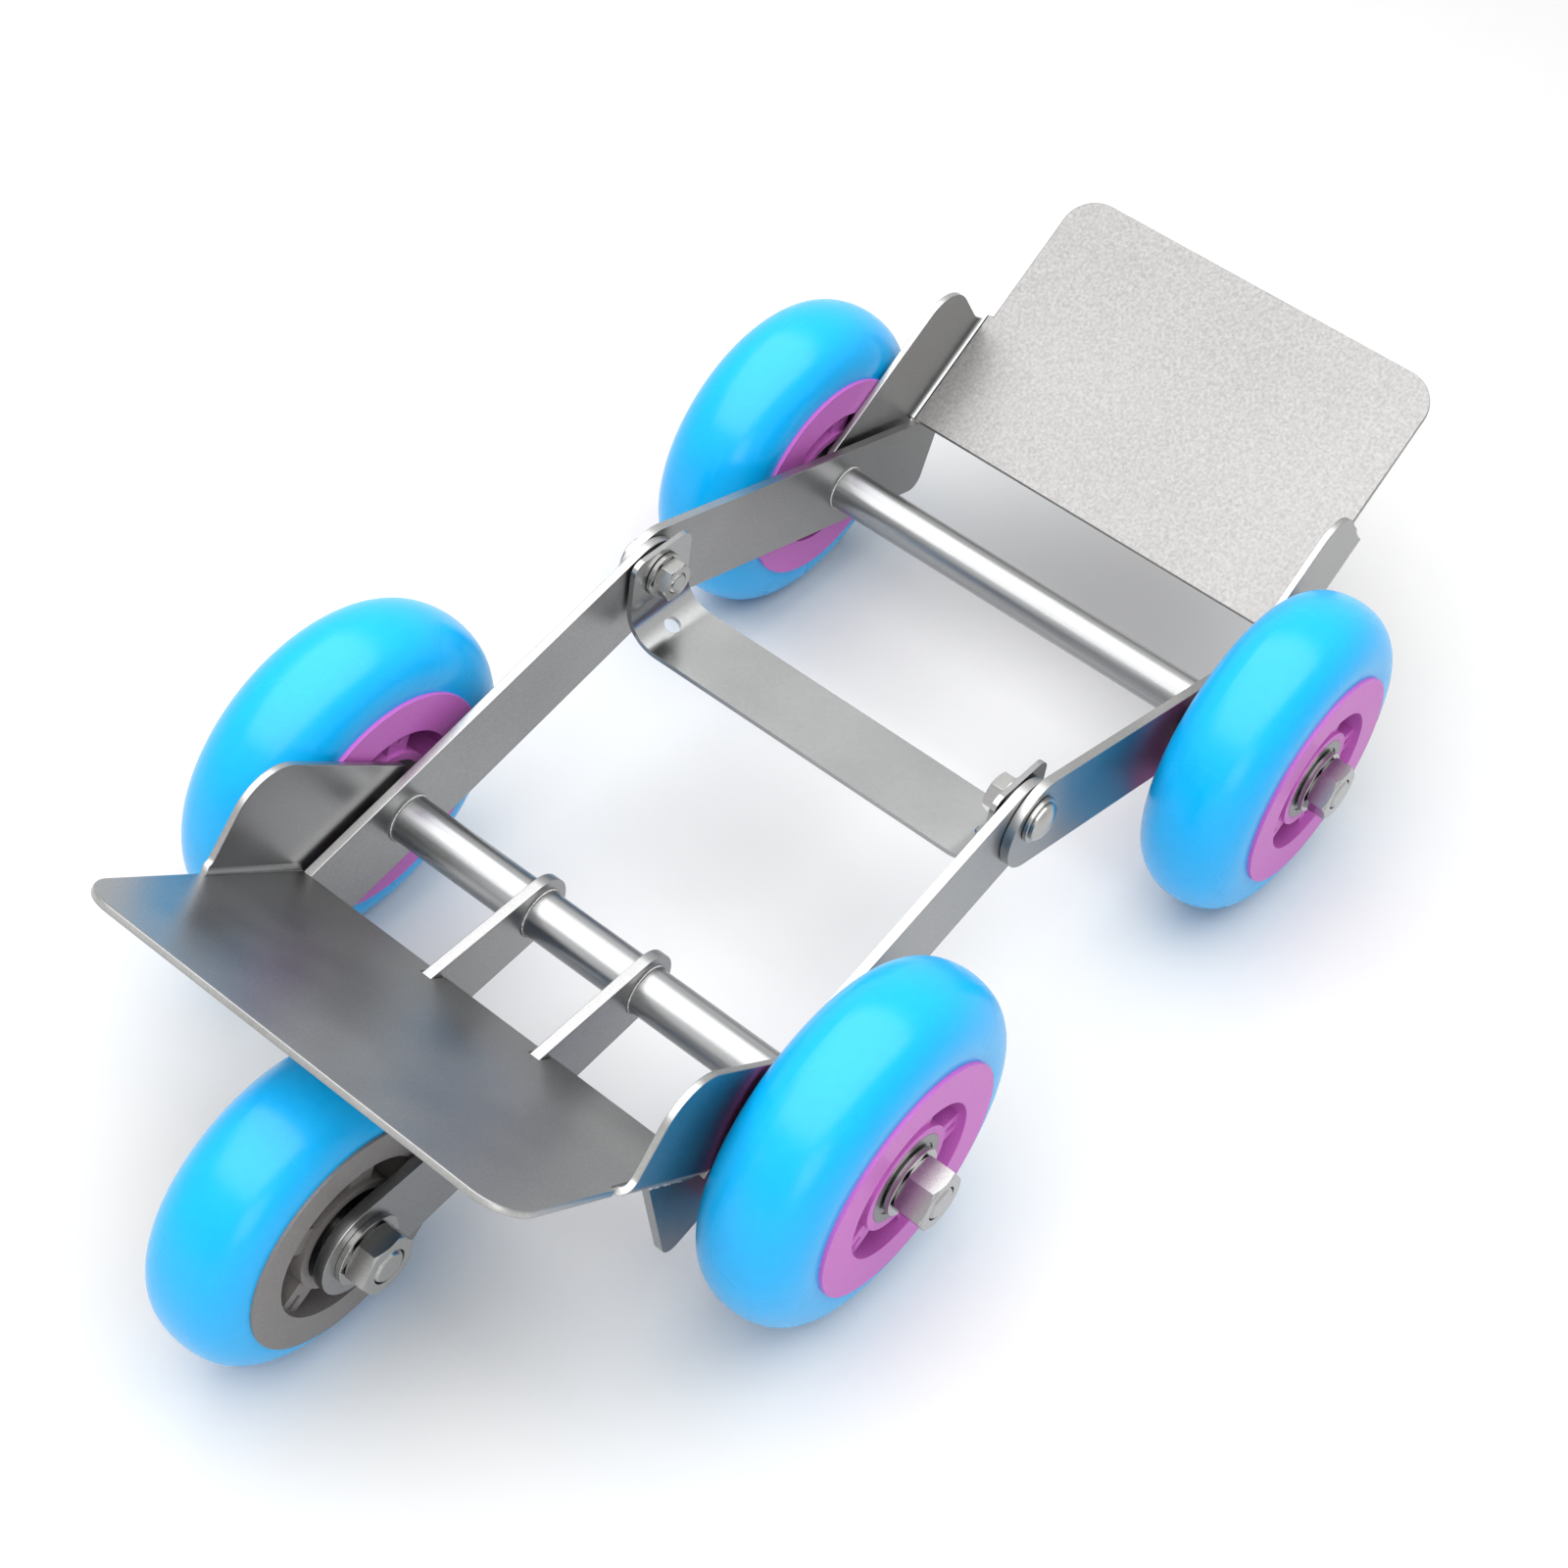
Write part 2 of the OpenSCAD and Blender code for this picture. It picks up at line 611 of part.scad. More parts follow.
// Hub: a flat ring on each side, then spokes and a boss for two bearings, with
// pockets between the spokes down to a web in the middle
module pockets_outline(r0, r1) {
    difference() {
        circle(r = r1);
        circle(r = r0);
        for (i = [0:spokes - 1]) rotate(i * 360 / spokes)
            translate([0, -spoke_w / 2]) square([2 * r1, spoke_w]);
    }
}
module hub(d, w, recess_d, half) {
    boss_r = bearing_od / 2 + boss_wall;
    groove_r = recess_d / 2 - groove_edge - spoke_groove_len;
    rotate([90, 0, 0]) difference() {
        translate([0, 0, -w / 2]) cylinder(d = d, h = w);
        for (s = [0, 1]) mirror([0, 0, s]) {
            translate([0, 0, w / 2 - spoke_inset]) linear_extrude(w) difference() {
                circle(d = recess_d);
                circle(r = boss_r);
            }
            translate([0, 0, web_t / 2]) linear_extrude(w) pockets_outline(boss_r, recess_d / 2);
            translate([0, 0, half]) cylinder(r = boss_r + over, h = w);
            translate([0, 0, half - bearing_w]) cylinder(d = bearing_od, h = w);
            for (i = [0:spokes - 1]) rotate(i * 360 / spokes)
                translate([groove_r, -spoke_groove_w / 2, w / 2 - 2 * spoke_inset])
                    cube([spoke_groove_len, spoke_groove_w, w]);
        }
        translate([0, 0, -w]) cylinder(r = bearing_od / 2 - bearing_stop, h = 2 * w);
    }
}
module wheel_hub(i) {
    if (i == GUIDE)
        color(GREY_HUB) translate(WHEELS[i]) hub(guide_hub_d, guide_hub_w, guide_recess_d, guide_boss_half);
    else
        color(PINK) translate(WHEELS[i]) hub(hub_d, hub_w, hub_recess_d, boss_half);
}

// Bearings: outer race with its two seals, inner race and balls, two of each in a wheel
module both_bearings(i) {
    half = i == GUIDE ? guide_boss_half : boss_half;
    for (s = [-1, 1]) translate(WHEELS[i]) translate([0, s * (half - bearing_w / 2), 0]) rotate([90, 0, 0])
        children();
}
module groove() { translate([pitch_r, 0]) circle(r = ball_d / 2 + ball_gap); }
module outer_races(i) {
    h = bearing_w / 2;
    color(BRIGHT) both_bearings(i) rotate_extrude() {
        difference() {
            translate([outer_race_r, -h]) square([bearing_od / 2 - outer_race_r, bearing_w]);
            groove();
        }
        for (s = [0, 1]) mirror([0, s])
            translate([race_d / 2 + seal_gap, h - seal_inset - seal_t])
                square([outer_race_r - race_d / 2 - seal_gap + over / 2, seal_t]);
    }
}
module inner_races(i) {
    color(BRIGHT) both_bearings(i) rotate_extrude() difference() {
        translate([bearing_bore / 2 + axle_fit / 2, -bearing_w / 2])
            square([(race_d - bearing_bore - axle_fit) / 2, bearing_w]);
        groove();
    }
}
module bearing_balls(i) {
    color(BRIGHT) both_bearings(i) for (k = [0:balls - 1]) rotate(k * 360 / balls)
        translate([pitch_r, 0, 0]) sphere(d = ball_d, $fn = 32);
}

front_rail(1);  // front_rail_left
front_rail(-1);  // front_rail_right
front_plate();
front_wing(1);  // front_wing_left
front_wing(-1);  // front_wing_right
front_cross_tube();
fork_arm(1);  // fork_arm_left
fork_arm(-1);  // fork_arm_right
rear_rail(1);  // rear_rail_left
rear_rail(-1);  // rear_rail_right
rear_plate();
rear_wing(1);  // rear_wing_left
rear_wing(-1);  // rear_wing_right
rear_cross_tube();
saddle_strap();
hinge_bolts();
hinge_nuts();
hinge_washers();
hinge_spacers();
at_front_axle() axle_rod(front_wheel_y, axle_nut_h);  // front_axle_rod
at_front_axle() axle_nuts(front_wheel_y, axle_nut_h);  // front_axle_nuts
at_front_axle() axle_washers(front_wheel_y);  // front_axle_washers
at_front_axle() axle_collars(front_wing_y, front_collar_len);  // front_axle_collars
at_front_axle() axle_sleeves(front_wheel_y);  // front_axle_sleeves
at_rear_axle() axle_rod(rear_wheel_y, thin_nut_h);  // rear_axle_rod
at_rear_axle() axle_nuts(rear_wheel_y, thin_nut_h);  // rear_axle_nuts
at_rear_axle() axle_washers(rear_wheel_y);  // rear_axle_washers
at_rear_axle() axle_collars(rear_wing_y, rear_collar_len);  // rear_axle_collars
at_rear_axle() axle_sleeves(rear_wheel_y);  // rear_axle_sleeves
guide_axle_bolt();
guide_axle_nut();
guide_axle_washers();
guide_axle_sleeve();
wheel_tyre(0);  // tyre_front_left
wheel_tyre(1);  // tyre_front_right
wheel_tyre(2);  // tyre_rear_left
wheel_tyre(3);  // tyre_rear_right
wheel_tyre(GUIDE);  // tyre_guide
wheel_hub(0);  // hub_front_left
wheel_hub(1);  // hub_front_right
wheel_hub(2);  // hub_rear_left
wheel_hub(3);  // hub_rear_right
wheel_hub(GUIDE);  // hub_guide
outer_races(0);  // outer_races_front_left
outer_races(1);  // outer_races_front_right
outer_races(2);  // outer_races_rear_left
outer_races(3);  // outer_races_rear_right
outer_races(GUIDE);  // outer_races_guide
bearing_balls(0);  // balls_front_left
bearing_balls(1);  // balls_front_right
bearing_balls(2);  // balls_rear_left
bearing_balls(3);  // balls_rear_right
bearing_balls(GUIDE);  // balls_guide
inner_races(0);  // inner_races_front_left
inner_races(1);  // inner_races_front_right
inner_races(2);  // inner_races_rear_left
inner_races(3);  // inner_races_rear_right
inner_races(GUIDE);  // inner_races_guide
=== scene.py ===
# %% [markdown]
# # A tyre dolly that clamps its own load
# The real object is a low dolly of flat steel bar and sheet. Two half frames are hinged in the middle, and a
# strap hangs on the hinge bolts. A tyre that stands on the strap folds the halves up until both end plates
# hold it. It rolls on four cast wheels and one guide wheel.
#
# The shape already exists as a CAD model, and it is loaded here as a fixed frame. What follows gives it the
# things that a CAD model lacks: broken edges, folds, welds and finishes.

# %% Load the frame
import json
import math

import bmesh
import bpy
from mathutils import Matrix, Vector


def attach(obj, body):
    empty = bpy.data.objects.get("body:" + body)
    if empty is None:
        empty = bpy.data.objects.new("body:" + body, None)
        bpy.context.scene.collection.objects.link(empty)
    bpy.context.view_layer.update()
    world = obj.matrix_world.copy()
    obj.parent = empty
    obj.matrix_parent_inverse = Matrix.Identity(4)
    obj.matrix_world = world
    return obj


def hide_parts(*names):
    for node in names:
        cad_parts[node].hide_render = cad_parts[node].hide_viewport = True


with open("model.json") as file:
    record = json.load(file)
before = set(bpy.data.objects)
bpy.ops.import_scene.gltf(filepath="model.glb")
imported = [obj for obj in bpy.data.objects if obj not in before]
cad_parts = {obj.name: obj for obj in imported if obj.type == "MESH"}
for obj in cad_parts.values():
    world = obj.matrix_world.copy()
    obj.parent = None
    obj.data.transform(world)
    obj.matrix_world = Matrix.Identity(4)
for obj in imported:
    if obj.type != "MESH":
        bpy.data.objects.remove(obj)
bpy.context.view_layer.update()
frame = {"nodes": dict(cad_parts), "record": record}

MM = 0.001
nodes = frame["nodes"]
body_of = {n: b for b, names in frame["record"]["behaviour"]["bodies"].items() for n in names}
slot_of = {s["node"]: s["material_slot"] for s in frame["record"]["subparts"]}

# %% [markdown]
# ## The camera
# The photograph was taken from in front of the dolly and to one side, about 43 degrees above the floor, with a
# long lens. Five tyres of known shape fix such a camera well: its place, its turn, its lens and the small shift
# of its frame were fitted until the outlines of the tyres and the bars fell on those in the photograph.

# %% Camera
AZIMUTH, ELEVATION, ROLL = (math.radians(a) for a in (-60.44, 42.75, 11.38))
DISTANCE = 1047.05 * MM
LOOK_AT = Vector((94.25, 15.88, 62.5)) * MM
PHOTO_SIZE = 1600
SENSOR = 36
FOCAL_PIXELS = 2928.6
CENTRE_X, CENTRE_Y = 934.7, 640.5

back = Vector((
    math.sin(AZIMUTH) * math.cos(ELEVATION),
    -math.cos(AZIMUTH) * math.cos(ELEVATION),
    math.sin(ELEVATION),
))
level = Vector((math.cos(AZIMUTH), math.sin(AZIMUTH), 0))
upright = back.cross(level)
right = math.cos(ROLL) * level + math.sin(ROLL) * upright
up = math.cos(ROLL) * upright - math.sin(ROLL) * level

camera_data = bpy.data.cameras.new("camera")
camera_data.sensor_width = SENSOR
camera_data.lens = SENSOR * FOCAL_PIXELS / PHOTO_SIZE
camera_data.shift_x = (PHOTO_SIZE / 2 - CENTRE_X) / PHOTO_SIZE
camera_data.shift_y = (CENTRE_Y - PHOTO_SIZE / 2) / PHOTO_SIZE
camera = bpy.data.objects.new("camera", camera_data)
bpy.context.scene.collection.objects.link(camera)
place = Matrix((right, up, back)).transposed().to_4x4()
place.translation = LOOK_AT + DISTANCE * back
camera.matrix_world = place
bpy.context.scene.camera = camera
print("lens", round(camera_data.lens, 1), "mm, camera at", [round(c, 3) for c in place.translation])

# %% [markdown]
# ## A helper for nodes
# Shaders and the weld beads are node trees that are built in code. A node is added the same way everywhere: its
# kind, and then only the inputs that differ from their defaults.

# %% Helper for nodes
def add(tree, kind, **values):
    """Adds a node. Each value goes to the input of that name, with a space for each underscore."""
    node = tree.nodes.new(kind)
    for title, value in values.items():
        node.inputs[title.replace("_", " ")].default_value = value
    return node

print("node helper ready")

# %% [markdown]
# ## Lamps
# The photograph is a plain studio picture on white. One large soft lamp overhead gives the sheet metal its
# bright upper faces. It hangs a little towards the front, so that the strap mirrors the white world and not the
# lamp, and keeps the even grey of the photograph. A small lamp near the camera puts a soft patch on the tyres.

# %% Lamps
def area_lamp(name, position, target, size, watts):
    data = bpy.data.lights.new(name, "AREA")
    data.shape = "SQUARE"
    data.size = size
    data.energy = watts
    lamp = bpy.data.objects.new(name, data)
    lamp.location = position
    lamp.rotation_euler = (Vector(target) - Vector(position)).to_track_quat("-Z", "Y").to_euler()
    bpy.context.scene.collection.objects.link(lamp)

area_lamp("overhead_lamp", position=(-0.42, 0.15, 1.6), target=(-0.42, 0.15, 0), size=2.95, watts=76)
area_lamp("fill_lamp", position=(-1.3, -1.3, 0.6), target=(0, 0, 0.05), size=0.8, watts=4.5)

# %% [markdown]
# ## The white world
# A world of strength 1 shows as pure white, and metal that mirrors it looks bright. As a source of light it
# would wash out every shadow, so it has about a quarter of that strength there. A Light Path node tells the rays
# apart: those from the camera, off a mirror or through a clear surface get the full strength.

# %% World
WORLD_LIGHT = 0.27
world = bpy.data.worlds.new("studio")
bpy.context.scene.world = world
world.use_nodes = True
tree = world.node_tree
background = tree.nodes["Background"]
background.inputs["Color"].default_value = (1, 1, 1, 1)
path = tree.nodes.new("ShaderNodeLightPath")
full = path.outputs["Is Camera Ray"]
for ray in ("Is Glossy Ray", "Is Transmission Ray"):
    either = tree.nodes.new("ShaderNodeMath")
    either.operation = "MAXIMUM"
    tree.links.new(full, either.inputs[0])
    tree.links.new(path.outputs[ray], either.inputs[1])
    full = either.outputs[0]
strength = add(tree, "ShaderNodeMapRange", To_Min=WORLD_LIGHT, To_Max=1.0)
tree.links.new(full, strength.inputs["Value"])
tree.links.new(strength.outputs["Result"], background.inputs["Strength"])
print("world: 1 where it is seen,", WORLD_LIGHT, "as light")

# %% [markdown]
# ## Floor
# A flat pale sheet catches the soft shadows that tie the wheels to the ground. It is stage and not part of the
# dolly, and its finish follows with the others.

# %% Floor
FLOOR_HALF = 6
corners = [(x * FLOOR_HALF, y * FLOOR_HALF, 0) for x, y in ((-1, -1), (1, -1), (1, 1), (-1, 1))]
floor_mesh = bpy.data.meshes.new("floor")
floor_mesh.from_pydata(corners, [], [(0, 1, 2, 3)])
floor = bpy.data.objects.new("floor", floor_mesh)
bpy.context.scene.collection.objects.link(floor)

bpy.context.scene.view_settings.view_transform = "Standard"
print("floor:", 2 * FLOOR_HALF, "m wide")

# %% [markdown]
# ## Materials
# Every surface here varies a little in three ways: in colour, in roughness and in height. A fine noise stands
# for the grain, and a broad one for the clouds that rolling, casting or handling leave. Both read Object
# coordinates in metres, so a grain of half a millimetre has a scale near 2000. What stays the same all over a
# surface is set on the shader's own sockets.

# %% A helper for grained finishes
def finish(name, dark, light, grain, metallic, rough, bump_um, cloud=18.0, specular=0.5, drawn=1.0):
    """drawn is how far the grain is drawn out along the dolly's width, bump_um its height in micrometres."""
    material = bpy.data.materials.new(name)
    material.use_nodes = True
    nt = material.node_tree
    link = nt.links.new
    shader = nt.nodes["Principled BSDF"]
    shader.inputs["Metallic"].default_value = metallic
    shader.inputs["Specular IOR Level"].default_value = specular
    coords = add(nt, "ShaderNodeTexCoord")
    along = add(nt, "ShaderNodeMapping", Scale=(1, 1 / drawn, 1))
    fine = add(nt, "ShaderNodeTexNoise", Scale=grain, Detail=3)
    broad = add(nt, "ShaderNodeTexNoise", Scale=cloud, Detail=2)
    both = add(nt, "ShaderNodeMath")
    both.operation = "ADD"
    spread = add(nt, "ShaderNodeMapRange", From_Min=0.7, From_Max=1.3)
    tone = add(nt, "ShaderNodeMix")
    tone.data_type = "RGBA"
    tone.inputs["A"].default_value = (*dark, 1)
    tone.inputs["B"].default_value = (*light, 1)
    gloss = add(nt, "ShaderNodeMapRange", From_Min=0.3, From_Max=0.7, To_Min=rough[0], To_Max=rough[1])
    relief = add(nt, "ShaderNodeBump", Strength=1, Distance=bump_um * 1e-6)
    link(coords.outputs["Object"], along.inputs["Vector"])
    link(along.outputs["Vector"], fine.inputs["Vector"])
    link(along.outputs["Vector"], broad.inputs["Vector"])
    link(fine.outputs["Fac"], both.inputs[0])
    link(broad.outputs["Fac"], both.inputs[1])
    link(both.outputs[0], spread.inputs["Value"])
    link(spread.outputs["Result"], tone.inputs["Factor"])
    link(tone.outputs["Result"], shader.inputs["Base Color"])
    link(broad.outputs["Fac"], gloss.inputs["Value"])
    link(gloss.outputs["Result"], shader.inputs["Roughness"])
    link(fine.outputs["Fac"], relief.inputs["Height"])
    link(relief.outputs["Normal"], shader.inputs["Normal"])
    return material

print("finish helper ready")

# %% [markdown]
# ### The finishes of the dolly
# The bars and the front plate are satin steel, and their cut edges are painted a little brighter, a painted
# highlight for the light that they catch. The rear plate is grainier, so it has a finish of its own; it faces
# the lamp and looks paler, so its tone is painted darker than the other steel, a painted shade. The strap is
# smooth and even, and the tubes show the fine lines of drawing, with lengthwise streaks that are also a painted
# reflection. Bolts and nuts are zinc plated. The tyres are glossy cast plastic, and the hubs are duller
# mouldings.
# Each line gives the darker and the lighter tone, the scale of the grain, whether it is metal, the range of the
# roughness and the height of the grain.

# %% The finishes
steel = finish("satin_steel", (0.27, 0.27, 0.272), (0.35, 0.35, 0.348), 1400, 1, (0.28, 0.38), 5)
# The rear plate: a grainier finish, with its tone painted darker as painted shade against the lamp that it
# faces.
grainy_shaded_steel = finish("grainy_shaded_steel", (0.162, 0.16, 0.157), (0.258, 0.254, 0.25), 750, 1, (0.34, 0.44), 10, cloud=5)
# Narrow faces: painted a little brighter, a painted highlight for the light that edges catch.
cut_edge_highlight = finish("cut_edge_highlight", (0.32, 0.32, 0.316), (0.42, 0.42, 0.415), 1100, 1, (0.30, 0.42), 6)
saddle_steel = finish("saddle_steel", (0.36, 0.366, 0.366), (0.39, 0.394, 0.394), 700, 1, (0.18, 0.24), 1)
# Tubes: the grain is drawn out into lengthwise streaks, partly drawing lines and partly a painted reflection.
drawn_streaks_and_reflection = finish("drawn_streaks_and_reflection", (0.25, 0.253, 0.256), (0.38, 0.383, 0.386), 500, 1, (0.24, 0.36), 4,
                     cloud=220, drawn=40)
race_steel = finish("race_steel", (0.16, 0.16, 0.158), (0.24, 0.24, 0.236), 900, 1, (0.24, 0.34), 2)
zinc = finish("zinc_plate", (0.34, 0.34, 0.332), (0.43, 0.43, 0.42), 1600, 1, (0.18, 0.28), 4)
weld_metal = finish("weld_metal", (0.32, 0.32, 0.315), (0.44, 0.435, 0.43), 2200, 1, (0.26, 0.38), 6)
tyre_blue = finish("cast_tyre", (0.001, 0.405, 0.85), (0.002, 0.435, 0.90), 300, 0, (0.24, 0.30), 2,
                   specular=0.36)
hub_pink = finish("pink_moulding", (0.51, 0.126, 0.485), (0.58, 0.156, 0.555), 1200, 0, (0.36, 0.46), 5,
                  specular=0.3)
hub_grey = finish("grey_moulding", (0.185, 0.172, 0.166), (0.235, 0.22, 0.212), 1200, 0, (0.36, 0.46), 6,
                  specular=0.4)
floor_white = finish("floor_white", (0.72, 0.72, 0.72), (0.73, 0.73, 0.73), 60, 0, (0.75, 0.85), 1,
                     specular=0.1)
floor.data.materials.append(floor_white)
print("finishes:", len(bpy.data.materials))

# %% [markdown]
# ### The floor thins out
# The lamp lights only the floor near the dolly. So the floor thins out with the distance from the middle, and
# the white world behind it is seen instead, which gives every view the plain white of the photograph.

# %% The floor thins out
FADE_FROM, FADE_TO = 0.8, 1.5
nt = floor_white.node_tree
coords = add(nt, "ShaderNodeTexCoord")
distance = add(nt, "ShaderNodeVectorMath")
distance.operation = "LENGTH"
fade = add(nt, "ShaderNodeMapRange", From_Min=FADE_FROM, From_Max=FADE_TO, To_Min=1, To_Max=0)
fade.interpolation_type = "SMOOTHSTEP"
nt.links.new(coords.outputs["Object"], distance.inputs[0])
nt.links.new(distance.outputs["Value"], fade.inputs["Value"])
nt.links.new(fade.outputs["Result"], nt.nodes["Principled BSDF"].inputs["Alpha"])
print("floor: opaque to", FADE_FROM, "m, gone at", FADE_TO, "m")

# %% [markdown]
# ### A finish for every piece
# The record names a material slot for each CAD piece, and each slot has one finish. Only the rear plate departs
# from its slot.

# %% Finishes on the CAD pieces
BY_SLOT = {
    "steel": steel, "saddle_steel": saddle_steel, "tube_steel": drawn_streaks_and_reflection, "fastener_steel": zinc,
    "bearing_steel": race_steel, "tyre_blue": tyre_blue, "hub_pink": hub_pink, "hub_grey": hub_grey,
}
# The rear plate takes its own grainier finish, whose darker tone is painted shade.
def material_for(node):
    return grainy_shaded_steel if node == "rear_plate" else BY_SLOT[slot_of[node]]

for name, obj in nodes.items():
    obj.data.materials.clear()
    obj.data.materials.append(material_for(name))
print("dressed nodes:", sum(bool(o.data.materials) for o in nodes.values()))

# %% [markdown]
# ## Broken edges
# No sheet or bar has a knife edge. A laser or a saw leaves a corner that is then broken by a few tenths of a
# millimetre, and that narrow strip is what flashes in the light along every edge in the photograph. The CAD
# pieces have sharp edges, so each one is copied, its loose triangles are joined, and its sharp edges are
# bevelled. The copy stands for the CAD piece. The narrow sides of rails and plates get the brighter finish,
# which is a painted highlight: a face counts as narrow when it is turned more than 60 degrees away from the
# broad ones.

# %% How an edge is broken
SHARP = math.radians(32)

def edged(bm, name, body, width, segments, finishes):
    """Breaks the sharp edges of a mesh and makes it a finished piece."""
    sharp = [e for e in bm.edges if len(e.link_faces) == 2 and e.calc_face_angle(0) > SHARP]
    bmesh.ops.bevel(bm, geom=sharp, offset=width, offset_type="OFFSET", segments=segments,
                    affect="EDGES", profile=0.5, clamp_overlap=True)
    mesh = bpy.data.meshes.new(name)
    bm.to_mesh(mesh)
    bm.free()
    for material in finishes:
        mesh.materials.append(material)
    piece = bpy.data.objects.new(name, mesh)
    bpy.context.scene.collection.objects.link(piece)
    mesh.shade_smooth()
    mesh.set_sharp_from_angle(angle=SHARP)
    keep_flat = piece.modifiers.new("keep_flat", "WEIGHTED_NORMAL")
    keep_flat.keep_sharp = True
    keep_flat.weight = 100
    return settled(piece, body)

def settled(piece, body):
    """Turns what the modifiers make into a plain mesh, and puts the piece on its body."""
    bpy.context.view_layer.update()
    final = bpy.data.meshes.new_from_object(piece.evaluated_get(bpy.context.evaluated_depsgraph_get()))
    piece.modifiers.clear()
    piece.data = final
    final.name = piece.name
    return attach(piece, body)

print("edges sharper than", round(math.degrees(SHARP)), "degrees are broken")

# %% Bevelled copies
PLATE_BREAK, BAR_BREAK, SMALL_BREAK = 0.6 * MM, 0.4 * MM, 0.15 * MM
SAME_POINT = 2e-6
FLAT_ENOUGH = math.radians(0.2)
NARROW = math.cos(math.radians(60))

def sheet_normal(node):
    """The way a sheet's broad faces look, or None for a piece that isn't a flat sheet."""
    if "plate" in node:
        return max(nodes[node].data.polygons, key=lambda f: f.area).normal.copy()
    return Vector((0, 1, 0)) if "rail" in node else None

def bevelled(node, width, segments=2):
    bm = bmesh.new()
    bm.from_mesh(nodes[node].data)
    bmesh.ops.remove_doubles(bm, verts=bm.verts, dist=SAME_POINT)
    bmesh.ops.dissolve_limit(bm, angle_limit=FLAT_ENOUGH, verts=bm.verts, edges=bm.edges)
    broad = sheet_normal(node)
    # Narrow faces take the brighter finish, a painted highlight.
    if broad:
        for face in bm.faces:
            face.material_index = int(abs(face.normal.dot(broad)) < NARROW)
    finishes = (material_for(node), cut_edge_highlight) if broad else (material_for(node),)
    piece = edged(bm, node + "_edged", body_of[node], width, segments, finishes)
    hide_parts(node)

for n in nodes:
    if "plate" in n:
        bevelled(n, PLATE_BREAK)
    elif any(w in n for w in ("rail", "fork_arm", "saddle", "hub_")):
        bevelled(n, BAR_BREAK)
    elif any(w in n for w in ("nut", "bolt", "washers", "collars", "spacers", "axle_rod")):
        bevelled(n, SMALL_BREAK, 1)

# %% [markdown]
# ## Places on a half frame
# What is added below lies on the two sloping halves. A point is given along the rail from the axle, across,
# and off the rail's middle line, or up the plate, across, and off its clamping face. A plate starts at its root
# on the rail, and stands at its angle to the rail. rail_y is the inner face of a rail. All sizes are in
# millimetres and come from the CAD source, which also works out where the hinge lies and how far from it the
# two axles are.

# %% Points on the halves
HINGE_X, AXLE_REACH, AXLE_HEIGHT = 17.5227, 118.7395, 62.5
SLOPE = math.radians(15)
PLATE_EDGE = 17.3
RAIL_H, RAIL_T, SHEET = 34.5, 3.5, 2.5
HALF = {
    "front": {"sign": -1, "root": 40.5, "angle": math.radians(52), "rail_y": 79.0},
    "rear": {"sign": 1, "root": 44.5, "angle": math.radians(50.5), "rail_y": 82.7},
}

def on_rail(half, u, y, w):
    x = HALF[half]["sign"] * (AXLE_REACH + u * math.cos(SLOPE) + w * math.sin(SLOPE))
    return Vector((HINGE_X + x, y, AXLE_HEIGHT - u * math.sin(SLOPE) + w * math.cos(SLOPE))) * MM

def on_plate(half, a, y, h):
    angle = HALF[half]["angle"]
    u = HALF[half]["root"] + a * math.cos(angle) - h * math.sin(angle)
    return on_rail(half, u, y, PLATE_EDGE + a * math.sin(angle) + h * math.cos(angle))

def rail_to_plate(half, u, w):
    angle = HALF[half]["angle"]
    du, dw = u - HALF[half]["root"], w - PLATE_EDGE
    return du * math.cos(angle) + dw * math.sin(angle), dw * math.cos(angle) - du * math.sin(angle)

print("plate roots:", {half: [round(c, 4) for c in on_plate(half, 0, 0, 0)] for half in HALF})

# %% [markdown]
# ## Folded wings
# Each wing is a tab of the plate that was folded up in a press brake, so it grows out of the plate's side edge
# through a small round bend, and stands clear of the rail by that bend's radius. The narrow dark slot between
# rail and wing comes from there. Behind the plate the tab runs on past the axle, and laps the rail's upper edge
# from outside. It is one closed sheet here: an inner and an outer skin, joined all round.

# %% The outline of a wing
FOLD_R = 1.8
FOLD_STEPS, FOOT_STEPS, CORNER_STEPS = 8, 5, 14
WING_LEN, WING_H, WING_CORNER, WING_FOOT = 47, 38, 17, 4.5
WING_LAP, WING_BACK = 5.5, 8

def arc(cx, cy, r, start, end, steps):
    angles = [math.radians(start + (end - start) * k / steps) for k in range(steps + 1)]
    return [(cx + r * math.cos(t), cy + r * math.sin(t)) for t in angles]

def wing_outline(half):
    """The flat part of a wing, from the far end of its fold round to the near end."""
    foot_start = 180 + math.degrees(math.asin((WING_FOOT - FOLD_R) / WING_FOOT))
    foot = arc(WING_LEN + WING_FOOT, WING_FOOT, WING_FOOT, foot_start, 180, FOOT_STEPS)
    corner = arc(WING_LEN - WING_CORNER, WING_H - WING_CORNER, WING_CORNER, 0, 90, CORNER_STEPS)
    angle = HALF[half]["angle"]
    lap_w = RAIL_H / 2 - WING_LAP
    back_a = (-WING_BACK - HALF[half]["root"] + WING_H * math.sin(angle)) / math.cos(angle)
    under_a = (lap_w - PLATE_EDGE + SHEET * math.cos(angle)) / math.sin(angle)
    back = [(back_a, WING_H), rail_to_plate(half, -WING_BACK, lap_w)]
    under = [(under_a, -SHEET), (0, -SHEET), (0, FOLD_R)]
    return foot + corner + back + under

print("outline points of a wing:", {half: len(wing_outline(half)) for half in HALF})

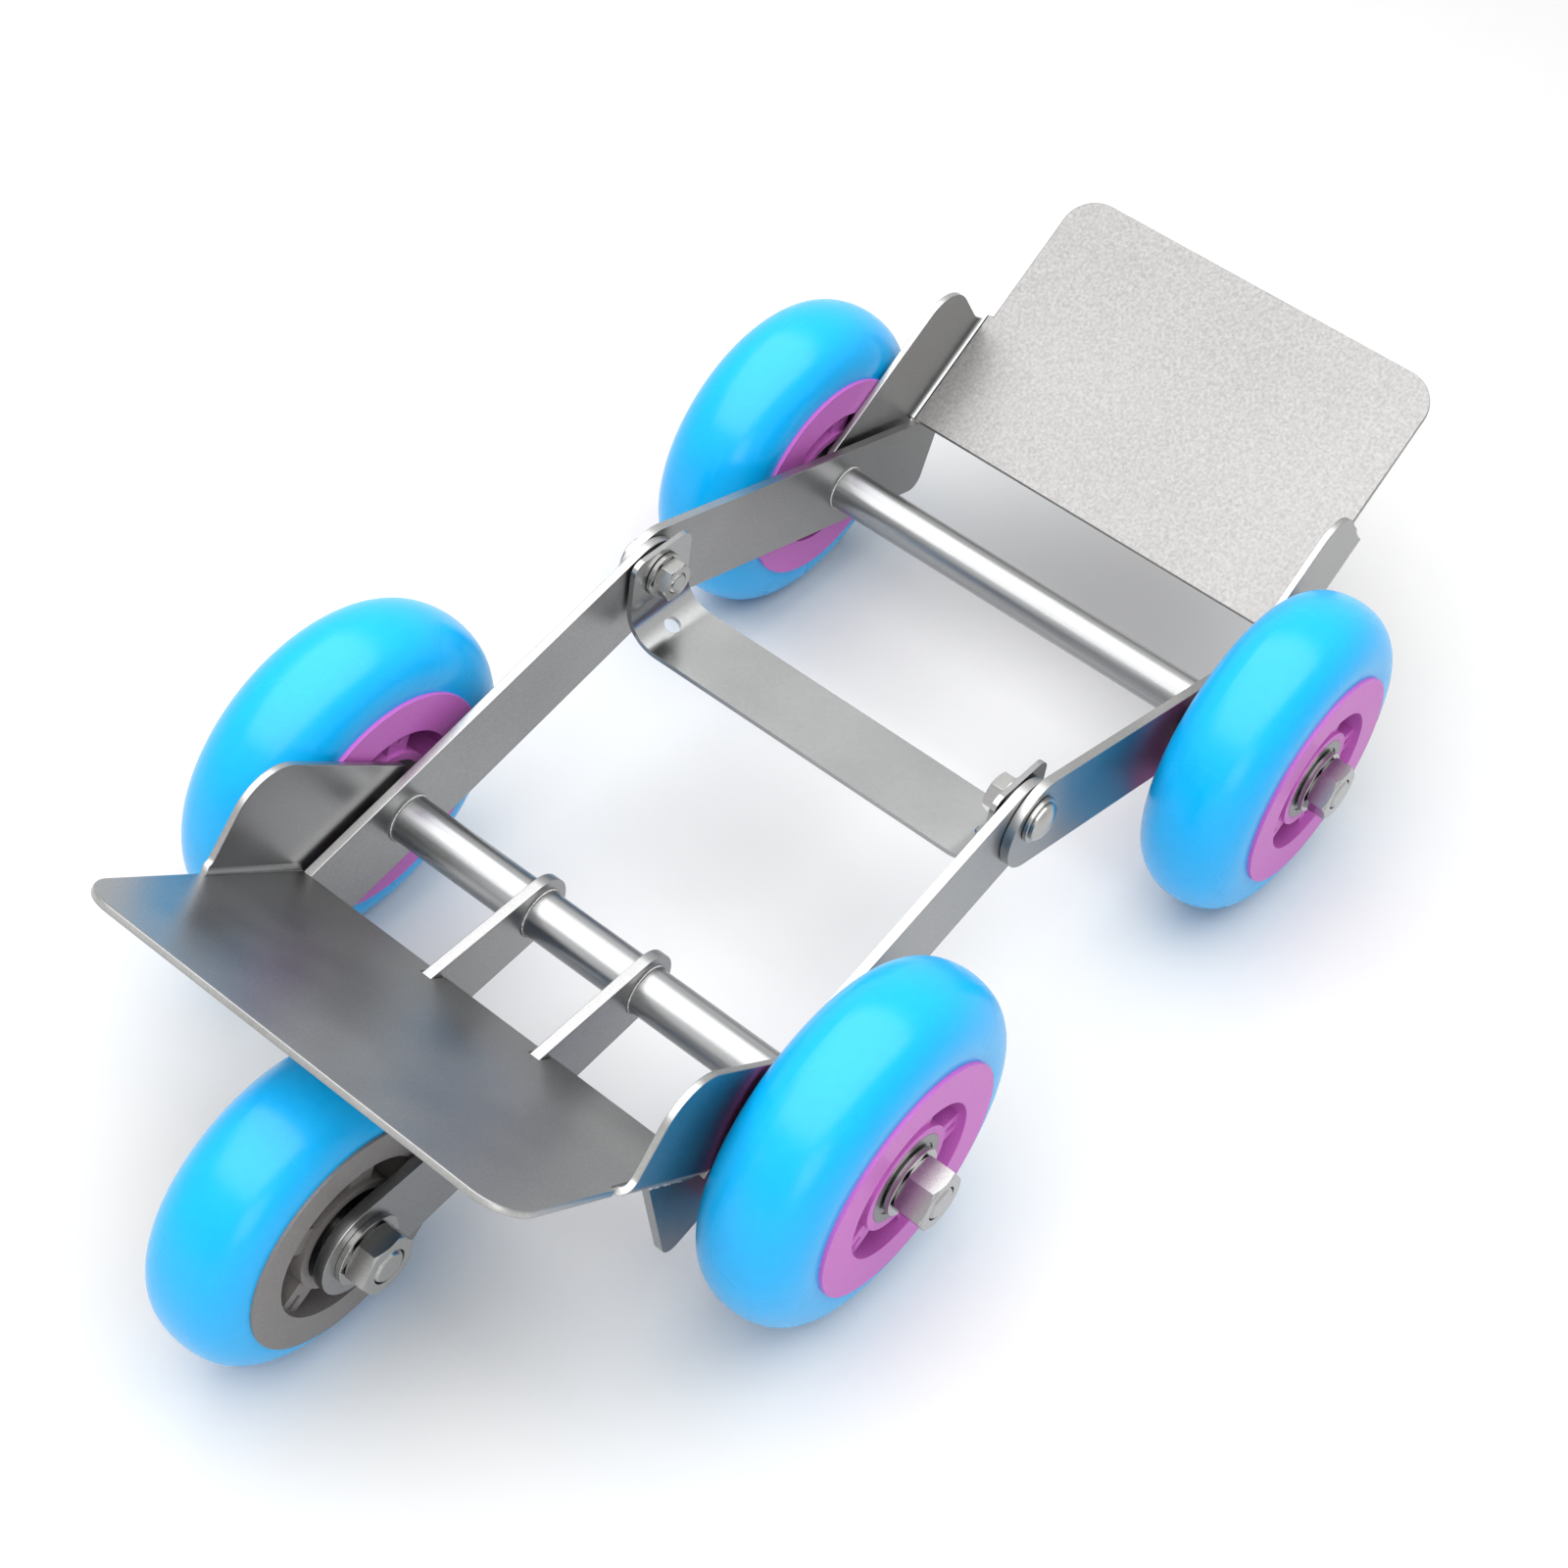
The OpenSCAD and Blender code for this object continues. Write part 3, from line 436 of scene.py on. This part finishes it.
# %% Folded wings
def wing_skin(bm, half, side, offset):
    """One skin: its outline, then the rows of its fold down to the plate's edge."""
    edge = HALF[half]["rail_y"] + RAIL_T
    r = FOLD_R + offset
    flat = [bm.verts.new(on_plate(half, a, side * (edge + r), h)) for a, h in wing_outline(half)]
    rows = []
    for k in range(FOLD_STEPS):
        left = 1 - (k + 1) / FOLD_STEPS
        turn = math.pi / 2 * left
        rise = WING_FOOT - FOLD_R * left
        far = WING_LEN + WING_FOOT - math.sqrt(max(WING_FOOT ** 2 - rise ** 2, 0))
        y, h = side * (edge + r * math.sin(turn)), FOLD_R - r * math.cos(turn)
        rows.append((bm.verts.new(on_plate(half, 0, y, h)), bm.verts.new(on_plate(half, far, y, h))))
    bm.faces.new(flat)
    near, far = flat[-1], flat[0]
    for row_near, row_far in rows:
        bm.faces.new((near, far, row_far, row_near))
        near, far = row_near, row_far
    return flat + [r[0] for r in rows] + [r[1] for r in reversed(rows)]

for half in HALF:
    for side, word in ((1, "left"), (-1, "right")):
        bm = bmesh.new()
        inner = wing_skin(bm, half, side, 0)
        outer = wing_skin(bm, half, side, SHEET)
        # The rim faces of a wing take the brighter finish, a painted highlight.
        for k in range(len(inner)):
            bm.faces.new((inner[k - 1], inner[k], outer[k], outer[k - 1])).material_index = 1
        bmesh.ops.recalc_face_normals(bm, faces=bm.faces)
        node = f"{half}_wing_{word}"
        piece = edged(bm, node + "_folded", half + "_frame", BAR_BREAK, 2, (steel, cut_edge_highlight))
        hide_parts(node)

# %% [markdown]
# ## Cross tubes
# A cross tube is plain drawn tube. Its ends are dressed after welding, so hardly any bead stands off the rail.
# Drawing leaves fine lines along a tube, and its finish follows them with lengthwise streaks that are partly
# those lines and partly a painted reflection.

# %% Cross tubes
TUBE_R, TUBE_BORE_R, ROUND = 8.5, 6.1, 96
TUBE_BREAK = 0.2 * MM

def ring(half, y, r):
    """Points round the axle at the distance y from the middle."""
    turns = [2 * math.pi * k / ROUND for k in range(ROUND)]
    return [on_rail(half, r * math.cos(t), y, r * math.sin(t)) for t in turns]

for half, f in HALF.items():
    bm = bmesh.new()
    end = f["rail_y"]
    section = ((-end, TUBE_BORE_R), (-end, TUBE_R), (end, TUBE_R), (end, TUBE_BORE_R))
    hoops = [[bm.verts.new(p) for p in ring(half, y, r)] for y, r in section]
    for near, far in zip(hoops, hoops[1:] + hoops[:1]):
        for k in range(ROUND):
            bm.faces.new((near[k - 1], near[k], far[k], far[k - 1]))
    bmesh.ops.recalc_face_normals(bm, faces=bm.faces)
    # The tube's finish carries lengthwise streaks, partly drawing lines and partly a painted reflection.
    tube = edged(bm, half + "_tube_drawn", half + "_frame", TUBE_BREAK, 1, (drawn_streaks_and_reflection,))
    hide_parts(half + "_cross_tube")

# %% [markdown]
# ## Weld beads
# The rails, tubes, arms and plates are welded. A bead is a row of overlapping drops, one for each dip of the
# rod, so Geometry Nodes lays a flattened drop every millimetre or less along a path, turns it along the path,
# and varies its size a little by a fixed seed. Each half gets one piece for its heavy beads and one for its
# fine beads.

# %% The bead tree
def bead_tree():
    tree = bpy.data.node_groups.new("weld_bead", "GeometryNodeTree")
    face = tree.interface
    face.new_socket("Geometry", in_out="INPUT", socket_type="NodeSocketGeometry")
    for title in ("Bead radius", "Drop spacing"):
        face.new_socket(title, in_out="INPUT", socket_type="NodeSocketFloat").default_value = 1.0 * MM
    face.new_socket("Seed", in_out="INPUT", socket_type="NodeSocketInt").default_value = 7
    face.new_socket("Metal", in_out="INPUT", socket_type="NodeSocketMaterial")
    face.new_socket("Geometry", in_out="OUTPUT", socket_type="NodeSocketGeometry")
    new, link = tree.nodes.new, tree.links.new
    given, result = new("NodeGroupInput"), new("NodeGroupOutput")
    path = new("GeometryNodeMeshToCurve")
    steps = new("GeometryNodeResampleCurve")
    steps.mode = "LENGTH"
    link(given.outputs["Geometry"], path.inputs["Mesh"])
    link(path.outputs["Curve"], steps.inputs["Curve"])
    link(given.outputs["Drop spacing"], steps.inputs["Length"])
    drop = add(tree, "GeometryNodeMeshUVSphere", Segments=12, Rings=6)
    link(given.outputs["Bead radius"], drop.inputs["Radius"])
    flat = add(tree, "GeometryNodeTransform", Scale=(1, 1, 0.75))
    link(drop.outputs["Mesh"], flat.inputs["Geometry"])
    tangent = new("GeometryNodeInputTangent")
    turn = new("FunctionNodeAlignRotationToVector")
    turn.axis = "Z"
    link(tangent.outputs["Tangent"], turn.inputs["Vector"])
    size = new("FunctionNodeRandomValue")
    size.data_type = "FLOAT"
    smallest, largest = size.inputs[2], size.inputs[3]
    smallest.default_value, largest.default_value = 0.85, 1.1
    link(given.outputs["Seed"], size.inputs["Seed"])
    place = new("GeometryNodeInstanceOnPoints")
    link(steps.outputs["Curve"], place.inputs["Points"])
    link(flat.outputs["Geometry"], place.inputs["Instance"])
    link(turn.outputs["Rotation"], place.inputs["Rotation"])
    link(size.outputs[1], place.inputs["Scale"])
    real = new("GeometryNodeRealizeInstances")
    smooth = new("GeometryNodeSetShadeSmooth")
    paint = new("GeometryNodeSetMaterial")
    link(place.outputs["Instances"], real.inputs["Geometry"])
    link(real.outputs["Geometry"], smooth.inputs["Geometry"])
    link(smooth.outputs["Geometry"], paint.inputs["Geometry"])
    link(given.outputs["Metal"], paint.inputs["Material"])
    link(paint.outputs["Geometry"], result.inputs["Geometry"])
    return tree

BEAD = bead_tree()
print("bead tree:", len(BEAD.nodes), "nodes")

# %% Beads along paths
CLOSED = 1e-7

def laid(name, paths, radius, spacing, body):
    """Lays one bead along each path of points. A path that ends where it began is closed."""
    points, edges = [], []
    for path in paths:
        closed = (path[0] - path[-1]).length < CLOSED
        own = path[:-1] if closed else path
        start = len(points)
        points += own
        edges += [(start + k, start + k + 1) for k in range(len(own) - 1)]
        if closed:
            edges.append((start + len(own) - 1, start))
    mesh = bpy.data.meshes.new(name)
    mesh.from_pydata(points, edges, [])
    piece = bpy.data.objects.new(name, mesh)
    bpy.context.scene.collection.objects.link(piece)
    beads = piece.modifiers.new("beads", "NODES")
    beads.node_group = BEAD
    sockets = {i.name: i.identifier for i in BEAD.interface.items_tree if i.in_out == "INPUT"}
    beads[sockets["Bead radius"]] = radius * MM
    beads[sockets["Drop spacing"]] = spacing * MM
    beads[sockets["Seed"]] = len(points)
    beads[sockets["Metal"]] = weld_metal
    return settled(piece, body)

def hoop(half, y, r):
    """A closed path round a tube."""
    points = ring(half, y, r)
    return points + points[:1]

print("one path round a tube has", len(hoop("front", 0, TUBE_R)), "points")

# %% [markdown]
# ### Where the beads run
# Heavy beads run below each plate, along both faces of each rail. Fine beads run round the ends of the tubes,
# across the rails at the foot of each plate, and round the tube and along the plate at the fork's arms. Every
# path lies a few tenths of a millimetre off the corner that it fills, so that about half of the bead is seen.
# A heavy bead starts a little way up the plate and stops short of the rail's toe.

# %% Where the beads run
ARM_Y, ARM_T = 20.6, 4.0
RAIL_TOE = 60
HEAVY_OFF, FINE_OFF, ROUND_OFF = 0.5, 0.3, 0.2
HEAVY_R, HEAVY_STEP = 1.3, 1.1
FINE_R, FINE_STEP = 0.6, 0.6
HEAVY_START, HEAVY_SHORT = 1.5, 1
FOOT_BEFORE, FOOT_BELOW = 0.3, 0.4
ARM_RUN = (0.8, 8)

for half, f in HALF.items():
    heavy, light = [], []
    toe_a = (RAIL_TOE - f["root"] - SHEET * math.sin(f["angle"])) / math.cos(f["angle"])
    heavy_run = (HEAVY_START, toe_a - HEAVY_SHORT)
    for side in (1, -1):
        light.append(hoop(half, side * (f["rail_y"] - FINE_OFF), TUBE_R + ROUND_OFF))
        for y in (f["rail_y"] - HEAVY_OFF, f["rail_y"] + RAIL_T + HEAVY_OFF):
            heavy.append([on_plate(half, a, side * y, -SHEET - HEAVY_OFF) for a in heavy_run])
        across = (f["rail_y"] + FINE_R, f["rail_y"] + RAIL_T - FINE_R)
        light.append([on_plate(half, -FOOT_BEFORE, side * y, -FOOT_BELOW) for y in across])
        if half == "front":
            for y in (ARM_Y - FINE_OFF, ARM_Y + ARM_T + FINE_OFF):
                light.append(hoop(half, side * y, TUBE_R + ROUND_OFF))
                light.append([on_plate(half, a, side * y, -SHEET - FINE_OFF) for a in ARM_RUN])
    laid(f"{half}_weld_beads", heavy, HEAVY_R, HEAVY_STEP, half + "_frame")
    laid(f"{half}_fine_beads", light, FINE_R, FINE_STEP, half + "_frame")
